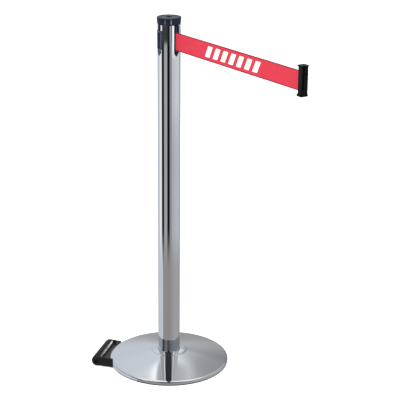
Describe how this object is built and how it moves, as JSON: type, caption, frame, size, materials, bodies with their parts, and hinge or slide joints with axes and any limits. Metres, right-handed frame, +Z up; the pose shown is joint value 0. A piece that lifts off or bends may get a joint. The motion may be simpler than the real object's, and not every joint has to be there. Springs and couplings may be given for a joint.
{
  "type": "retractable belt stanchion",
  "caption": "Chrome post on a round weighted base, with a belt on a spring reel, an end clip, receivers for other belts on the other sides, and a tipping roller at the base.",
  "frame": {"origin": "centre of the base's underside, on the floor at the post's axis", "axes": "+Z up along the post, +X the way the belt pulls out"},
  "size_m": [0.7579, 0.3804, 1.016],
  "materials": {
    "chrome": "polished chrome plate",
    "cast_iron": "rough casting, painted",
    "steel": "plain zinc-plated steel",
    "brass": "sintered bush",
    "rubber": "black rubber",
    "black_plastic": "black moulding, fine grain",
    "grey_plastic": "dark grey moulding",
    "nylon": "natural nylon",
    "webbing": "red woven polyester webbing"
  },
  "bodies": {
    "stand": {"floor_pad": "rubber", "base_weight": "cast_iron", "base_cover": "chrome", "base_bolt": "steel", "base_washer": "steel", "foot_plug": "steel", "post_tube": "chrome", "roller_bracket": "black_plastic", "bracket_screw_1": "steel", "bracket_screw_2": "steel", "roller_axle": "steel", "axle_clip_1": "steel", "axle_clip_2": "steel", "receiver_right": "black_plastic", "receiver_back": "black_plastic", "receiver_left": "black_plastic", "belt_outlet": "black_plastic", "guide_pin": "steel", "cassette_floor": "black_plastic", "cassette_lid": "black_plastic", "spring_barrel": "black_plastic", "barrel_lid": "black_plastic", "power_spring": "steel", "spool_axle": "steel", "tie_screw_1": "steel", "tie_screw_2": "steel", "tie_screw_3": "steel", "tie_screw_4": "steel", "head_cap": "black_plastic", "cap_disc": "grey_plastic", "cap_screw": "steel", "belt_webbing": "webbing"},
    "belt_end": {"clip_left": "black_plastic", "clip_right": "black_plastic", "clip_pin": "steel", "clip_screw_lower": "steel", "clip_screw_upper": "steel"},
    "reel": {"spool": "nylon", "belt_coil": "webbing", "spool_bush_lower": "brass", "spool_bush_upper": "brass"},
    "guide": {"guide_roller": "nylon"},
    "tipping_roller": {"roller_tyre": "rubber", "roller_hub_1": "black_plastic", "roller_hub_2": "black_plastic"}
  },
  "joints": [
    {"name": "belt_pull", "type": "slide", "parent": "stand", "child": "belt_end", "axis": [1, 0, 0], "range_m": [-0.524, 2.518], "stiffness_N_per_m": 1, "springref_m": -5, "deforming": ["belt_webbing"]},
    {"name": "reel_spin", "type": "hinge", "parent": "stand", "child": "reel", "pos_m": [0, 0, 0.95], "axis": [0, 0, 1], "continuous": true},
    {"name": "guide_spin", "type": "hinge", "parent": "stand", "child": "guide", "pos_m": [0.0286, 0.00385, 0.959], "axis": [0, 0, 1], "continuous": true},
    {"name": "roller_spin", "type": "hinge", "parent": "stand", "child": "tipping_roller", "pos_m": [-0.12048, -0.15201, 0.0163], "axis": [-0.6428, 0.766, 0], "continuous": true}
  ],
  "couplings": [
    {"joint": "reel_spin", "follows": "belt_pull", "rad_per_m": -44.25},
    {"joint": "guide_spin", "follows": "belt_pull", "rad_per_m": 259.74}
  ]
}
